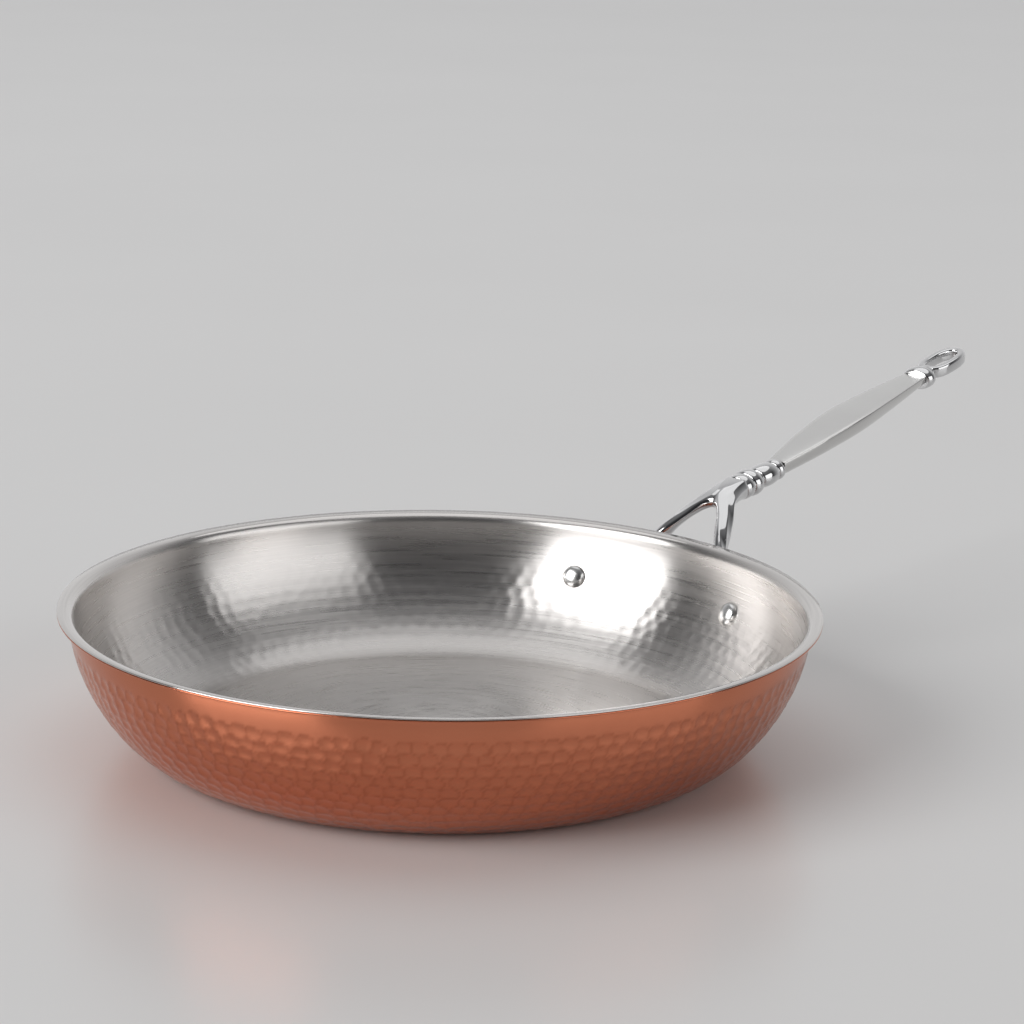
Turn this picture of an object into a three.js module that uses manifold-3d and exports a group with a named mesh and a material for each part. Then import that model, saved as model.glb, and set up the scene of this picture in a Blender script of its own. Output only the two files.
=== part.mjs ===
// Hammered copper frying pan: a three-layer body with an out-turned lip, and a riveted
// wishbone handle whose hollow grip is clamped between a forked casting and a hanging loop.
// Millimetres, +Z up. The origin is the centre of the flat underside, on the pan's axis,
// and the handle runs out along +X.

import * as THREE from 'three';
import { mergeVertices } from 'three/addons/utils/BufferGeometryUtils.js';
import Module from 'manifold-3d';

// Pan body
const LIP_RADIUS = 150;
const PAN_HEIGHT = 57.2;
const BASE_RADIUS = 106.5;
const LIP_OVERHANG = 4.4;
const LIP_BEND = 1.2;
const LIP_TILT = THREE.MathUtils.degToRad(8);
const SIDE_FULLNESS = 1.7;
const COPPER_THICKNESS = 0.6;
const CORE_THICKNESS = 1.0;
const STEEL_THICKNESS = 0.6;
const BOND_GAP = 0.05;

// Rivets
const RIVET_HEIGHT = 33;
const RIVET_ANGLE = THREE.MathUtils.degToRad(17.75);
const SHANK_RADIUS = 2.6;
const SHANK_CLEARANCE = 0.3;
const HEAD_RADIUS = 5;
const HEAD_RISE = 2.8;
const TAIL_RADIUS = 4.6;
const TAIL_RISE = 2;
const RIVET_EDGE = 0.4;

// Where the handle stands off the lip
const FERRULE_REACH = 69.2;
const FERRULE_RISE = 17.7;
const NECK_TILT = THREE.MathUtils.degToRad(8.4);
const GRIP_TILT = THREE.MathUtils.degToRad(13);
const LOOP_TILT = THREE.MathUtils.degToRad(12.5);
const JOINT_GAP = 0.3;
const SEAT_GAP = 0.3;

// Forked casting: legs, feet and the shoulder between them
const LEG_WIDTH = 7;
const LEG_THICKNESS = 4.9;
const LEG_ROOT_WIDTH = 5.4;
const LEG_ROOT_SPREAD = 3.2;
const LEG_ROOT_DROP = 0.4;
const LEG_BEND_REACH = 28;
const LEG_BEND_SPREAD = 6.4;
const LEG_BEND_RISE = 9.9;
const LEG_KNEE_REACH = 21;
const LEG_KNEE_SPREAD = 9.9;
const LEG_KNEE_RISE = 5.3;
const LEG_LIP_CLEARANCE = 11.4;
const LEG_LIP_SPREAD = 15.8;
const LEG_LIP_DROP = 3.6;
const SHIN_LIP_CLEARANCE = 3.6;
const SHIN_SPREAD = 21.6;
const SHIN_DROP = 15;
const FOOT_WIDTH = 15;
const FOOT_THICKNESS = 4.4;
const FOOT_LENGTH = 9;
const FOOT_TOE_WIDTH = 7;
const FOOT_SLANT = THREE.MathUtils.degToRad(34);
const SPOT_DEPTH = 0.4;
const SHOULDER_LENGTH = 17;
const SHOULDER_CREST = 6.5;
const SHOULDER_WIDTH = 13;
const SHOULDER_HEIGHT = 8.4;
const SHOULDER_TIP_WIDTH = 7;
const SHOULDER_TIP_HEIGHT = 4;
const CASTING_SQUARENESS = 2.8;

// Turned neck of the casting, listed outwards from the fork
const FORK_BEAD_RADIUS = 6.3;
const FORK_BEAD_WIDTH = 5.6;
const NECK_BEAD_RADIUS = 6.7;
const NECK_BEAD_WIDTH = 6;
const BEAD_GROOVE_RADIUS = 5.5;
const WAIST_RADIUS = 4.2;
const WAIST_LENGTH = 2.4;
const BULB_RADIUS = 5.7;
const BULB_LENGTH = 11.6;
const NECK_OVAL = 1.12;

// Grip, its two ferrules and the tie rod through them
const FRONT_FERRULE_RADIUS = 5.1;
const FRONT_FERRULE_WIDTH = 4.2;
const FRONT_FERRULE_OVAL = 1.08;
const REAR_FERRULE_RADIUS = 6.5;
const REAR_FERRULE_WIDTH = 6;
const REAR_FERRULE_OVAL = 1.24;
const FERRULE_SHOULDER = 1.1;
const GRIP_LENGTH = 110.6;
const GRIP_FRONT_WIDTH = 8.8;
const GRIP_WIDTH = 20.6;
const GRIP_REAR_WIDTH = 11.6;
const GRIP_FRONT_HEIGHT = 7.2;
const GRIP_HEIGHT = 10.1;
const GRIP_REAR_HEIGHT = 5.4;
const GRIP_FRONT_TOP = 3.1;
const GRIP_TOP = 4.7;
const GRIP_REAR_TOP = 2.4;
const GRIP_FRONT_SWELL = 0.71;
const GRIP_REAR_TAPER = 0.38;
const GRIP_BELLY_BEND = 0.8;
const GRIP_CROWN = 0.3;
const GRIP_WALL = 1.6;
const GRIP_END_WALL = 6;
const ROD_RADIUS = 1.5;
const ROD_CLEARANCE = 0.3;
const ROD_IN_NECK = 11;
const ROD_IN_LOOP = 3;

// Hanging loop
const LOOP_LENGTH = 31;
const LOOP_WIDTH = 15.8;
const LOOP_RAIL_WIDTH = 4;
const LOOP_RAIL_HEIGHT = 4.8;
const LOOP_SQUARENESS = 2.4;
const LOOP_LIFT = 0.8;
const LOOP_ROOT_LENGTH = 4;
const LOOP_ROOT_RADIUS = 4.2;

// Facets
const BODY_SEGMENTS = 48;
const SIDE_STEPS = 8;
const LIP_STEPS = 3;
const TURNED_SEGMENTS = 24;
const BEAD_STEPS = 6;
const DOME_STEPS = 4;
const ROUND_SEGMENTS = 16;
const LEG_STEPS = 21;
const SHOULDER_STEPS = 5;
const SECTION_POINTS = 14;
const GRIP_STEPS = 14;
const BELLY_STEPS = 12;
const CROWN_STEPS = 4;
const LOOP_STEPS = 28;

const QUARTER_TURN = Math.PI / 2;
const MERGE_DISTANCE = 1e-4;
const wasm = await Module();
wasm.setup();

const v3 = (x, y, z) => new THREE.Vector3(x, y, z);

// Solids

function weld(geometry) {
  const bare = geometry.clone();
  bare.deleteAttribute('normal');
  bare.deleteAttribute('uv');
  const merged = mergeVertices(bare, MERGE_DISTANCE);
  const position = merged.attributes.position;
  const corners = [];
  let volume = 0;
  for (let i = 0; i < merged.index.count; i += 3) {
    const ids = [0, 1, 2].map((k) => merged.index.getX(i + k));
    if (new Set(ids).size === 3) {
      const [a, b, c] = ids.map((id) => v3().fromBufferAttribute(position, id));
      volume += a.dot(b.cross(c));
      corners.push(ids);
    }
  }
  const outward = corners.map(([a, b, c]) => (volume < 0 ? [a, c, b] : [a, b, c]));
  merged.setIndex(outward.flat());
  merged.computeVertexNormals();
  return merged;
}

function solid(geometry) {
  const welded = weld(geometry);
  return new wasm.Manifold(new wasm.Mesh({
    numProp: 3,
    vertProperties: new Float32Array(welded.attributes.position.array),
    triVerts: new Uint32Array(welded.index.array),
  }));
}

function geometryOf(body) {
  const mesh = body.getMesh();
  const geometry = new THREE.BufferGeometry();
  geometry.setAttribute('position', new THREE.BufferAttribute(mesh.vertProperties, 3));
  geometry.setIndex(new THREE.BufferAttribute(mesh.triVerts, 1));
  geometry.computeVertexNormals();
  return geometry;
}

const join = (parts) => parts.map(solid).reduce((whole, part) => whole.add(part));
const cut = (body, tools) => tools.map(solid).reduce((left, tool) => left.subtract(tool), body);

// A profile of [radius, height] points turned about Z.
function turn(profile, segments) {
  const points = profile.map(([radius, height]) => new THREE.Vector2(radius, height));
  return new THREE.LatheGeometry(points, segments).rotateX(QUARTER_TURN);
}

// A plain rod about Z between two heights.
const rod = (radius, from, to) => turn(
  [[0, from], [radius, from], [radius, to], [0, to]],
  ROUND_SEGMENTS,
);

// The same, laid along +X.
const alongX = (geometry) => geometry.rotateY(QUARTER_TURN);

// A skin over rings of points: closed on itself, or capped at both ends.
function loft(rings, closed) {
  const size = rings[0].length;
  const points = rings.flat();
  const faces = [];
  const spans = closed ? rings.length : rings.length - 1;
  for (let i = 0; i < spans; i += 1) {
    const here = i * size;
    const next = ((i + 1) % rings.length) * size;
    for (let k = 0; k < size; k += 1) {
      const l = (k + 1) % size;
      faces.push(here + k, here + l, next + l, here + k, next + l, next + k);
    }
  }
  if (!closed) {
    const last = (rings.length - 1) * size;
    for (let k = 1; k < size - 1; k += 1) {
      faces.push(0, k + 1, k, last, last + k, last + k + 1);
    }
  }
  return new THREE.BufferGeometry().setFromPoints(points).setIndex(faces);
}

// An outline between an ellipse (power 2) and a rounded box (higher powers).
function roundedOutline(width, height, power) {
  const bend = (value) => Math.sign(value) * Math.abs(value) ** (2 / power);
  return Array.from({ length: SECTION_POINTS }, (_, k) => {
    const angle = (2 * Math.PI * (k + 0.5)) / SECTION_POINTS;
    return [(bend(Math.cos(angle)) * width) / 2, (bend(Math.sin(angle)) * height) / 2];
  });
}

const ringAt = (centre, across, up, outline) => outline.map(([a, b]) => (
  centre.clone().addScaledVector(across, a).addScaledVector(up, b)));

// A quarter-round dome over a flat face: points from its rim to the axis, or back.
function dome(radius, face, rise) {
  const rim = face + Math.sign(rise) * RIVET_EDGE;
  const points = [[radius, face]];
  for (let i = 0; i <= DOME_STEPS; i += 1) {
    const angle = (QUARTER_TURN * i) / DOME_STEPS;
    const reach = rise - Math.sign(rise) * RIVET_EDGE;
    points.push([radius * Math.cos(angle), rim + reach * Math.sin(angle)]);
  }
  points[points.length - 1][0] = 0;
  return points;
}

// A rounded swelling along a turned profile, between two heights.
function swelling(from, to, root, crest) {
  return Array.from({ length: BEAD_STEPS + 1 }, (_, i) => {
    const angle = (Math.PI * i) / BEAD_STEPS;
    const height = (from + to) / 2 - ((to - from) / 2) * Math.cos(angle);
    return [root + (crest - root) * Math.sin(angle), height];
  });
}

// Section of the pan body

const wallTopRadius = LIP_RADIUS - LIP_OVERHANG;
const lipThickness = COPPER_THICKNESS + BOND_GAP + STEEL_THICKNESS;
const coreInset = COPPER_THICKNESS + BOND_GAP;
const liningInset = coreInset + CORE_THICKNESS + BOND_GAP;
const wallThickness = liningInset + STEEL_THICKNESS;
const lipBendRadius = wallTopRadius + LIP_BEND;
const lipEdgeHeight = (inset) => PAN_HEIGHT - (lipThickness - inset) / Math.cos(LIP_TILT);
const copperBendHeight = lipEdgeHeight(0) - (LIP_RADIUS - lipBendRadius) * Math.tan(LIP_TILT)
  - LIP_BEND / Math.cos(LIP_TILT);
const liningBendHeight = copperBendHeight - (liningInset - coreInset) / Math.cos(LIP_TILT);

// The side sweeps from the flat base to an upright wall. turnAngle is 0 at the base and a
// quarter turn at the top; inward is the unit normal into the pan.
function sideAt(turnAngle) {
  const power = 2 / SIDE_FULLNESS;
  const place = (angle) => new THREE.Vector2(
    BASE_RADIUS + (wallTopRadius - BASE_RADIUS) * Math.sin(angle) ** power,
    liningBendHeight * (1 - Math.cos(angle) ** power),
  );
  const point = place(turnAngle);
  if (turnAngle <= 0) return { point, inward: new THREE.Vector2(0, 1) };
  if (turnAngle >= QUARTER_TURN) return { point, inward: new THREE.Vector2(-1, 0) };
  const step = 1e-4;
  const along = place(turnAngle + step).sub(place(turnAngle - step)).normalize();
  return { point, inward: new THREE.Vector2(-along.y, along.x) };
}

const sideAngleAtHeight = (height) => (
  Math.acos((1 - height / liningBendHeight) ** (SIDE_FULLNESS / 2)));

function sidePoints(inset) {
  return Array.from({ length: SIDE_STEPS + 1 }, (_, i) => {
    const { point, inward } = sideAt((QUARTER_TURN * i) / SIDE_STEPS);
    return point.addScaledVector(inward, inset).toArray();
  });
}

const copperWallTop = (inset) => [wallTopRadius - inset, copperBendHeight];

function lipPoints(inset, bendHeight, edgeInset) {
  const bend = LIP_BEND + inset;
  const sweep = QUARTER_TURN - LIP_TILT;
  const points = [];
  for (let i = 1; i <= LIP_STEPS; i += 1) {
    const angle = Math.PI - (sweep * i) / LIP_STEPS;
    points.push([lipBendRadius + bend * Math.cos(angle), bendHeight + bend * Math.sin(angle)]);
  }
  points.push([LIP_RADIUS, lipEdgeHeight(edgeInset)]);
  return points;
}

const layer = (lower, upper) => turn(
  [[0, lower[0][1]], ...lower, ...upper.toReversed(), [0, upper[0][1]]],
  BODY_SEGMENTS,
);

function copperSection() {
  const face = (inset) => [
    ...sidePoints(inset),
    copperWallTop(inset),
    ...lipPoints(inset, copperBendHeight, inset),
  ];
  return layer(face(0), face(COPPER_THICKNESS));
}

const coreSection = () => layer(
  sidePoints(coreInset),
  sidePoints(coreInset + CORE_THICKNESS),
);

function liningSection() {
  const face = (inset) => [
    ...sidePoints(inset),
    ...lipPoints(inset, liningBendHeight, inset - liningInset + coreInset),
  ];
  return layer(face(liningInset), face(wallThickness));
}

// What the handle's feet are bedded against: the outer face of the body and a seating gap.
function bedding() {
  const face = [...sidePoints(-SEAT_GAP), copperWallTop(-SEAT_GAP)];
  const rim = LIP_RADIUS + SEAT_GAP;
  const top = PAN_HEIGHT + SEAT_GAP;
  return turn(
    [[0, -SEAT_GAP], ...face, [rim, lipEdgeHeight(0) - SEAT_GAP], [rim, top], [0, top]],
    BODY_SEGMENTS,
  );
}

// A frame on the outer face: Z out of the wall, Y up the wall, X round the pan.
function wallFrame(height, azimuth) {
  const { point, inward } = sideAt(sideAngleAtHeight(height));
  const radial = v3(Math.cos(azimuth), Math.sin(azimuth), 0);
  const round = v3(-Math.sin(azimuth), Math.cos(azimuth), 0);
  const out = radial.clone().multiplyScalar(-inward.x).add(v3(0, 0, -inward.y));
  const origin = radial.multiplyScalar(point.x).add(v3(0, 0, point.y));
  const up = out.clone().cross(round);
  return new THREE.Matrix4().makeBasis(round, up, out).setPosition(origin);
}

const rivetFrame = (side) => wallFrame(RIVET_HEIGHT, side * RIVET_ANGLE);

// Rivets

const rivetHole = (side) => rod(
  SHANK_RADIUS + SHANK_CLEARANCE,
  -wallThickness - HEAD_RADIUS,
  FOOT_THICKNESS + TAIL_RADIUS,
).applyMatrix4(rivetFrame(side));

const rivetHoles = () => [1, -1].map(rivetHole);

// The head inside the pan is bedded to the curve of the lining, and the tail to the foot's flat.
function rivet(side) {
  const headFace = -wallThickness;
  const tailFace = FOOT_THICKNESS + SEAT_GAP;
  const head = turn([[0, headFace], ...dome(HEAD_RADIUS, headFace, -HEAD_RISE)], ROUND_SEGMENTS);
  const tail = turn([[0, tailFace], ...dome(TAIL_RADIUS, tailFace, TAIL_RISE)], ROUND_SEGMENTS);
  const shank = rod(SHANK_RADIUS, headFace - HEAD_RISE / 2, tailFace + TAIL_RISE / 2);
  const placed = [head, tail, shank].map((form) => form.applyMatrix4(rivetFrame(side)));
  const wall = layer(sidePoints(-SEAT_GAP), sidePoints(wallThickness + SEAT_GAP));
  const bedded = cut(solid(placed[0]), [wall]);
  return geometryOf(bedded.add(join(placed.slice(1))));
}

// Forked casting

const ferrulePoint = v3(LIP_RADIUS + FERRULE_REACH, 0, PAN_HEIGHT + FERRULE_RISE);
const neckOut = v3(Math.cos(NECK_TILT), 0, Math.sin(NECK_TILT));
const neckUp = v3(-Math.sin(NECK_TILT), 0, Math.cos(NECK_TILT));
const onNeck = (back) => ferrulePoint.clone().addScaledVector(neckOut, -back);
const gripFrame = new THREE.Matrix4().makeRotationY(-GRIP_TILT).setPosition(ferrulePoint);

const bulbStart = FRONT_FERRULE_WIDTH / 2;
const waistStart = bulbStart + BULB_LENGTH;
const neckBeadStart = waistStart + WAIST_LENGTH;
const forkBeadStart = neckBeadStart + NECK_BEAD_WIDTH;
const neckEnd = forkBeadStart + FORK_BEAD_WIDTH;
const crotchBack = neckEnd + SHOULDER_LENGTH;

function neck() {
  const profile = [
    [0, 0],
    [WAIST_RADIUS, 0],
    ...swelling(bulbStart, waistStart, WAIST_RADIUS, BULB_RADIUS),
    [WAIST_RADIUS, neckBeadStart],
    ...swelling(neckBeadStart, forkBeadStart, BEAD_GROOVE_RADIUS, NECK_BEAD_RADIUS),
    ...swelling(forkBeadStart, neckEnd, BEAD_GROOVE_RADIUS, FORK_BEAD_RADIUS),
    [0, neckEnd],
  ];
  const toFork = new THREE.Matrix4().makeBasis(v3(0, 1, 0), neckUp, neckOut.clone().negate());
  return turn(profile, TURNED_SEGMENTS)
    .scale(NECK_OVAL, 1 / NECK_OVAL, 1)
    .applyMatrix4(toFork.setPosition(ferrulePoint));
}

// The shoulder swells from the neck and thins to a web in the crotch of the fork.
function shoulder() {
  const neckWidth = 2 * BEAD_GROOVE_RADIUS * NECK_OVAL;
  const neckHeight = (2 * BEAD_GROOVE_RADIUS) / NECK_OVAL;
  const form = new THREE.CatmullRomCurve3([
    v3(neckEnd - FORK_BEAD_WIDTH / 2, neckWidth, neckHeight),
    v3(neckEnd + SHOULDER_CREST, SHOULDER_WIDTH, SHOULDER_HEIGHT),
    v3(crotchBack, SHOULDER_TIP_WIDTH, SHOULDER_TIP_HEIGHT),
  ]);
  const across = v3(0, 1, 0);
  const rings = form.getPoints(SHOULDER_STEPS).map(({ x, y, z }) => (
    ringAt(onNeck(x), across, neckUp, roundedOutline(y, z, CASTING_SQUARENESS))));
  return loft(rings, false);
}

// One leg: out of the shoulder, down past the lip and along the wall to its foot.
function leg(side) {
  const onFoot = (along, lift) => {
    const { point } = sideAt(sideAngleAtHeight(RIVET_HEIGHT));
    const azimuth = RIVET_ANGLE + (along * Math.cos(FOOT_SLANT)) / point.x;
    const height = RIVET_HEIGHT - along * Math.sin(FOOT_SLANT);
    return v3(0, 0, lift).applyMatrix4(wallFrame(height, azimuth));
  };
  const besideLip = (clearance, spread, drop) => (
    v3(Math.sqrt((LIP_RADIUS + clearance) ** 2 - spread ** 2), spread, PAN_HEIGHT - drop));
  const root = onNeck(neckEnd).addScaledVector(neckUp, -LEG_ROOT_DROP);
  const path = [
    root.setY(LEG_ROOT_SPREAD),
    v3(LIP_RADIUS + LEG_BEND_REACH, LEG_BEND_SPREAD, PAN_HEIGHT + LEG_BEND_RISE),
    v3(LIP_RADIUS + LEG_KNEE_REACH, LEG_KNEE_SPREAD, PAN_HEIGHT + LEG_KNEE_RISE),
    besideLip(LEG_LIP_CLEARANCE, LEG_LIP_SPREAD, LEG_LIP_DROP),
    besideLip(SHIN_LIP_CLEARANCE, SHIN_SPREAD, SHIN_DROP),
    onFoot(-FOOT_LENGTH, LEG_THICKNESS / 2),
    onFoot(0, SPOT_DEPTH),
    onFoot(FOOT_LENGTH, 0),
  ];
  const bar = v3(LEG_WIDTH, LEG_THICKNESS, 0);
  const foot = v3(FOOT_WIDTH, 2 * FOOT_THICKNESS, 0);
  const centreLine = new THREE.CatmullRomCurve3(path);
  const sizeLine = new THREE.CatmullRomCurve3([
    v3(LEG_ROOT_WIDTH, LEG_THICKNESS, 0),
    bar,
    bar,
    bar,
    bar,
    bar.clone().add(foot).divideScalar(2),
    foot,
    v3(FOOT_TOE_WIDTH, FOOT_THICKNESS, 0),
  ]);
  const footOut = v3().setFromMatrixColumn(rivetFrame(1), 2);
  const rings = Array.from({ length: LEG_STEPS + 1 }, (_, i) => {
    const t = i / LEG_STEPS;
    const along = centreLine.getTangent(t);
    const up = neckUp.clone().lerp(footOut, t);
    up.addScaledVector(along, -up.dot(along)).normalize();
    const across = along.clone().cross(up);
    const size = sizeLine.getPoint(t);
    const outline = roundedOutline(size.x, size.y, CASTING_SQUARENESS);
    return ringAt(centreLine.getPoint(t), across, up, outline);
  });
  return loft(rings, false).scale(1, side, 1);
}

// A flat sunk into each foot for the rivet's tail.
const spotFace = (side) => rod(
  TAIL_RADIUS + SHANK_CLEARANCE,
  FOOT_THICKNESS,
  FOOT_THICKNESS + LEG_THICKNESS,
).applyMatrix4(rivetFrame(side));

// Everything past the seat of the front ferrule.
function ferruleSeat() {
  const reach = 4 * NECK_BEAD_RADIUS;
  const from = -FRONT_FERRULE_WIDTH / 2 - JOINT_GAP;
  return new THREE.BoxGeometry(reach, reach, reach)
    .translate(from + reach / 2, 0, 0)
    .applyMatrix4(gripFrame);
}

const boreAlongGrip = (from, to) => alongX(rod(ROD_RADIUS + ROD_CLEARANCE, from, to));

function handleYoke() {
  const casting = join([neck(), shoulder(), leg(1), leg(-1)]);
  const rodBore = boreAlongGrip(-ROD_IN_NECK - JOINT_GAP, FRONT_FERRULE_WIDTH).applyMatrix4(gripFrame);
  return geometryOf(cut(casting, [
    bedding(),
    ...rivetHoles(),
    spotFace(1),
    spotFace(-1),
    ferruleSeat(),
    rodBore,
  ]));
}

// Grip assembly, along +X from the middle of the front ferrule

const gripStart = FRONT_FERRULE_WIDTH / 2 + JOINT_GAP;
const gripEnd = gripStart + GRIP_LENGTH;
const rearFerruleStart = gripEnd + JOINT_GAP;
const loopStart = rearFerruleStart + REAR_FERRULE_WIDTH + JOINT_GAP;

function ferrule(start, width, crest, oval) {
  const bead = swelling(start, start + width, crest - FERRULE_SHOULDER, crest);
  const blank = alongX(turn([[0, start], ...bead, [0, start + width]], TURNED_SEGMENTS));
  const bore = boreAlongGrip(start - JOINT_GAP, start + width + JOINT_GAP);
  return geometryOf(cut(solid(blank.scale(1, oval, 1 / oval)), [bore]));
}

// Width, height and top of the grip along its length: slim at the ends, full in the middle.
function gripForm() {
  const front = v3(GRIP_FRONT_WIDTH, GRIP_FRONT_HEIGHT, GRIP_FRONT_TOP);
  const middle = v3(GRIP_WIDTH, GRIP_HEIGHT, GRIP_TOP);
  const rear = v3(GRIP_REAR_WIDTH, GRIP_REAR_HEIGHT, GRIP_REAR_TOP);
  return new THREE.CatmullRomCurve3([
    front,
    front.clone().lerp(middle, GRIP_FRONT_SWELL),
    middle,
    middle.clone().lerp(rear, GRIP_REAR_TAPER),
    rear,
  ]);
}

// A nearly flat top with crisp edges over a rounded belly, set in by a wall.
function gripOutline(form, inset) {
  const half = form.x / 2 - inset;
  const top = form.z - inset;
  const depth = form.y - 2 * inset;
  const belly = Array.from({ length: BELLY_STEPS + 1 }, (_, k) => {
    const angle = (Math.PI * k) / BELLY_STEPS;
    return [half * Math.cos(angle), top - depth * Math.abs(Math.sin(angle)) ** GRIP_BELLY_BEND];
  });
  const crown = Array.from({ length: CROWN_STEPS - 1 }, (_, k) => {
    const share = (2 * (k + 1)) / CROWN_STEPS - 1;
    return [half * share, top + GRIP_CROWN * (1 - share ** 2)];
  });
  return [...belly, ...crown];
}

function gripSkin(from, to, inset) {
  const form = gripForm();
  const rings = Array.from({ length: GRIP_STEPS + 1 }, (_, i) => {
    const x = from + ((to - from) * i) / GRIP_STEPS;
    const size = form.getPoint((x - gripStart) / GRIP_LENGTH);
    return ringAt(v3(x, 0, 0), v3(0, 1, 0), v3(0, 0, 1), gripOutline(size, inset));
  });
  return loft(rings, false);
}

function grip() {
  const sleeve = solid(gripSkin(gripStart, gripEnd, 0));
  return geometryOf(cut(sleeve, [
    gripSkin(gripStart + GRIP_END_WALL, gripEnd - GRIP_END_WALL, GRIP_WALL),
    boreAlongGrip(gripStart - JOINT_GAP, gripEnd + JOINT_GAP),
  ]));
}

// An oval eye of rounded rail on a short round root.
function hangingLoop() {
  const nearRail = LOOP_ROOT_LENGTH;
  const farRail = LOOP_LENGTH - LOOP_RAIL_WIDTH / 2;
  const halfLength = (farRail - nearRail) / 2;
  const halfWidth = (LOOP_WIDTH - LOOP_RAIL_WIDTH) / 2;
  const middle = (farRail + nearRail) / 2;
  const up = v3(0, 0, 1);
  const rail = roundedOutline(LOOP_RAIL_WIDTH, LOOP_RAIL_HEIGHT, LOOP_SQUARENESS);
  const rings = Array.from({ length: LOOP_STEPS }, (_, i) => {
    const angle = (2 * Math.PI * i) / LOOP_STEPS;
    const centre = v3(middle + halfLength * Math.cos(angle), halfWidth * Math.sin(angle), 0);
    const out = v3(halfWidth * Math.cos(angle), halfLength * Math.sin(angle), 0).normalize();
    return ringAt(centre, out, up, rail);
  });
  const tilt = new THREE.Matrix4().makeRotationY(GRIP_TILT - LOOP_TILT);
  tilt.setPosition(loopStart, 0, LOOP_LIFT);
  const eye = loft(rings, true).applyMatrix4(tilt);
  const rootEnd = loopStart + LOOP_ROOT_LENGTH;
  const root = alongX(turn([
    [0, loopStart],
    [LOOP_ROOT_RADIUS, loopStart],
    [LOOP_ROOT_RADIUS, rootEnd - LOOP_ROOT_LENGTH / 2],
    [LOOP_RAIL_HEIGHT / 2, rootEnd],
    [0, rootEnd],
  ], TURNED_SEGMENTS)).scale(1, REAR_FERRULE_OVAL, 1);
  const rodBore = boreAlongGrip(loopStart - JOINT_GAP, loopStart + ROD_IN_LOOP + JOINT_GAP);
  return geometryOf(cut(join([eye, root]), [rodBore]));
}

const tieRod = () => alongX(rod(ROD_RADIUS, -ROD_IN_NECK, loopStart + ROD_IN_LOOP));

// Assembly

const COPPER = { color: 0xb5674a, roughness: 0.35 };
const ALUMINIUM = { color: 0xb9bcc0, roughness: 0.5 };
const BRUSHED_STEEL = { color: 0xb8b6b0, roughness: 0.32 };
const POLISHED_STEEL = { color: 0xc9c9cb, roughness: 0.1 };

function piece(name, geometry, finish) {
  const mesh = new THREE.Mesh(geometry, new THREE.MeshStandardMaterial({ ...finish, metalness: 1 }));
  mesh.name = name;
  return mesh;
}

const drilled = (section) => geometryOf(cut(solid(section), rivetHoles()));

const body = new THREE.Group();
body.add(
  piece('copper_shell', drilled(copperSection()), COPPER),
  piece('aluminium_core', drilled(coreSection()), ALUMINIUM),
  piece('steel_lining', drilled(liningSection()), BRUSHED_STEEL),
  piece('handle_yoke', handleYoke(), POLISHED_STEEL),
  piece('rivet_left', rivet(1), POLISHED_STEEL),
  piece('rivet_right', rivet(-1), POLISHED_STEEL),
);

const gripStack = new THREE.Group();
gripStack.applyMatrix4(gripFrame);
const frontFerrule = ferrule(
  -FRONT_FERRULE_WIDTH / 2,
  FRONT_FERRULE_WIDTH,
  FRONT_FERRULE_RADIUS,
  FRONT_FERRULE_OVAL,
);
const rearFerrule = ferrule(
  rearFerruleStart,
  REAR_FERRULE_WIDTH,
  REAR_FERRULE_RADIUS,
  REAR_FERRULE_OVAL,
);
gripStack.add(
  piece('front_ferrule', frontFerrule, POLISHED_STEEL),
  piece('grip', grip(), POLISHED_STEEL),
  piece('rear_ferrule', rearFerrule, POLISHED_STEEL),
  piece('hanging_loop', hangingLoop(), POLISHED_STEEL),
  piece('tie_rod', weld(tieRod()), BRUSHED_STEEL),
);

const fryingPan = new THREE.Group();
fryingPan.add(body, gripStack);

export default fryingPan;
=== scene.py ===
"""Studio model of a hammered copper frying pan with a riveted wishbone handle."""

import math

import bmesh
import bpy
import numpy as np
from mathutils import Matrix, Vector


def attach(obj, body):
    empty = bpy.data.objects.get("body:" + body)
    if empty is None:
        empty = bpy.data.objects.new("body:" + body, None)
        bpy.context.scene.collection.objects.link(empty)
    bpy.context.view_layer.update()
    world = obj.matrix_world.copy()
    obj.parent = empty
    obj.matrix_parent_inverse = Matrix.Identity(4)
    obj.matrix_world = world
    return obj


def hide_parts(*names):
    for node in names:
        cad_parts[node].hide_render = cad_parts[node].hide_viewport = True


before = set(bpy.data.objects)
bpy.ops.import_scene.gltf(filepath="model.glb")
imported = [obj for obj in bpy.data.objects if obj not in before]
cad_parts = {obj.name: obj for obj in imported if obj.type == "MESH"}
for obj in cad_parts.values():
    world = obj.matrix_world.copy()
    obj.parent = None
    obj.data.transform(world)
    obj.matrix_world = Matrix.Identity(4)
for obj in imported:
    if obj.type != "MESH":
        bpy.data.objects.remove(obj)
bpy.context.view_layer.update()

# Sizes in millimetres, with angles and ratios among them
MM = 0.001
LIP_RADIUS = 150.0
PAN_HEIGHT = 57.2
BASE_RADIUS = 106.5
LIP_OVERHANG = 4.4
LIP_BEND = 1.2
LIP_TILT = math.radians(8)
SIDE_FULLNESS = 1.7
COPPER = 0.6
CORE = 1.0
STEEL = 0.6
BOND = 0.05
LIP_EDGE_ROUND = 0.18
LIP_POLISH_START = 143.6
LIP_POLISH_END = 145.2

RIVET_HEIGHT = 33.0
RIVET_ANGLE = math.radians(17.75)
SHANK_RADIUS = 2.6
HEAD_RADIUS = 5.0
HEAD_RISE = 2.8
TAIL_RADIUS = 4.6
TAIL_RISE = 2.0
RIVET_EDGE = 0.4
RIVET_CLEARANCE = 0.1

FERRULE_REACH = 69.2
FERRULE_RISE = 17.7
NECK_TILT = math.radians(8.4)
GRIP_TILT = math.radians(13)
LOOP_TILT = math.radians(12.5)
JOINT_GAP = 0.3

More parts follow.
